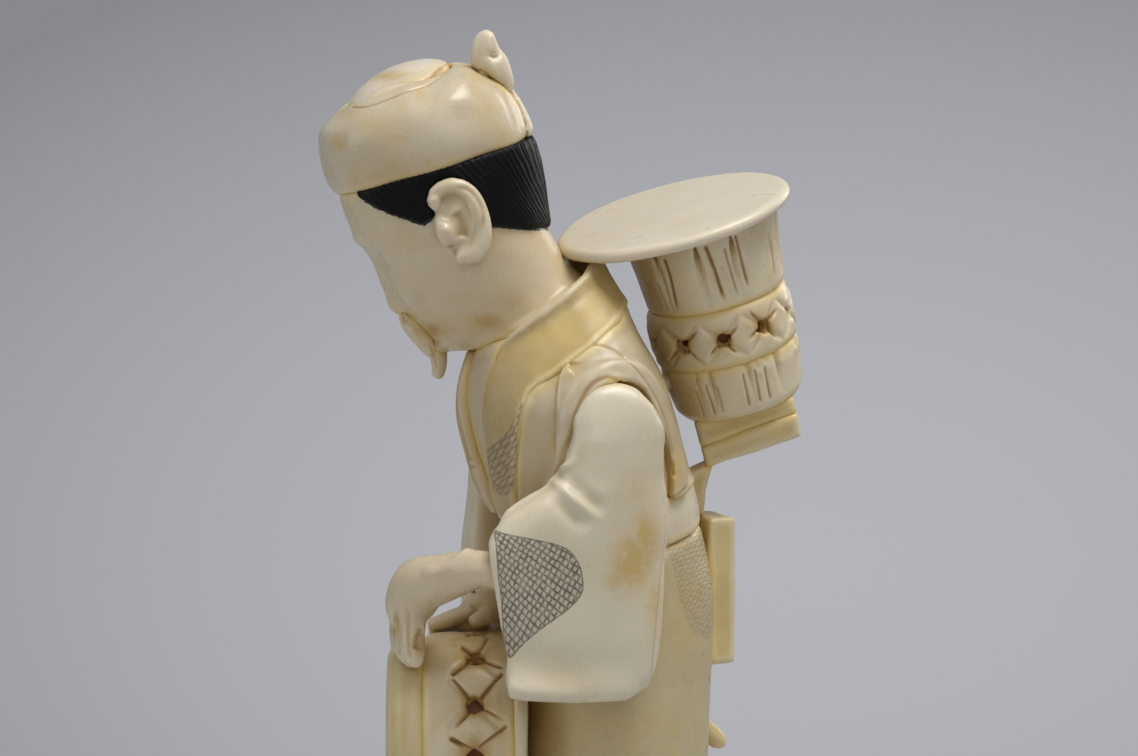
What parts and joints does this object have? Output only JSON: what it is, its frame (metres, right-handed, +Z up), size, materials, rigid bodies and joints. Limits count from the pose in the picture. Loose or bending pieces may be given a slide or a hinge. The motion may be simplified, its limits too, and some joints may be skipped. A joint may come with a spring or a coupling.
{
  "type": "okimono carving",
  "caption": "Sectional carved figure of a stooping old basket seller with a stacked pack on the back and a pierced basket at the front, on a low oval base.",
  "frame": {"origin": "centre of the base's underside", "axes": "+Z up through the figure, the figure faces -Y and its left side is towards +X"},
  "size_m": [0.042, 0.0595, 0.15],
  "materials": {
    "ivory": "polished bone white with yellow patina in the recesses",
    "skin_ivory": "polished, faintly pink",
    "base_ivory": "satin, yellowed",
    "warm_ivory": "satin, yellowed",
    "peg_ivory": "turned, unpolished",
    "pierced_ivory": "polished, orange brown inside the piercings",
    "core_amber": "dark orange brown",
    "hair_black": "black stained, satin"
  },
  "bodies": {
    "root": {"base": "base_ivory", "sandals": "ivory", "legs": "ivory", "foot_pegs": "peg_ivory", "robe": "ivory", "sash": "ivory", "sash_tail": "warm_ivory", "torso": "ivory", "coat": "ivory", "collar": "ivory", "left_sleeve": "ivory", "right_sleeve": "ivory", "shoulder_pegs": "peg_ivory", "left_hand": "skin_ivory", "right_hand": "skin_ivory", "wrist_pegs": "peg_ivory", "head": "skin_ivory", "hair": "hair_black", "beard": "skin_ivory", "cap": "ivory", "crown_plug": "warm_ivory", "cap_knot": "ivory", "knot_peg": "peg_ivory", "pack_lid": "ivory", "pack_hoop": "ivory", "pack_pierced_hoop": "pierced_ivory", "pack_core": "core_amber", "pack_low_hoop": "ivory", "pack_block": "warm_ivory", "pack_slab": "ivory", "pack_rod": "peg_ivory", "pack_post": "warm_ivory", "pack_peg": "peg_ivory", "basket": "pierced_ivory", "basket_core": "core_amber", "basket_rim": "ivory", "basket_foot": "ivory", "basket_peg": "peg_ivory", "waist_peg": "peg_ivory", "toggle": "warm_ivory"}
  },
  "joints": []
}
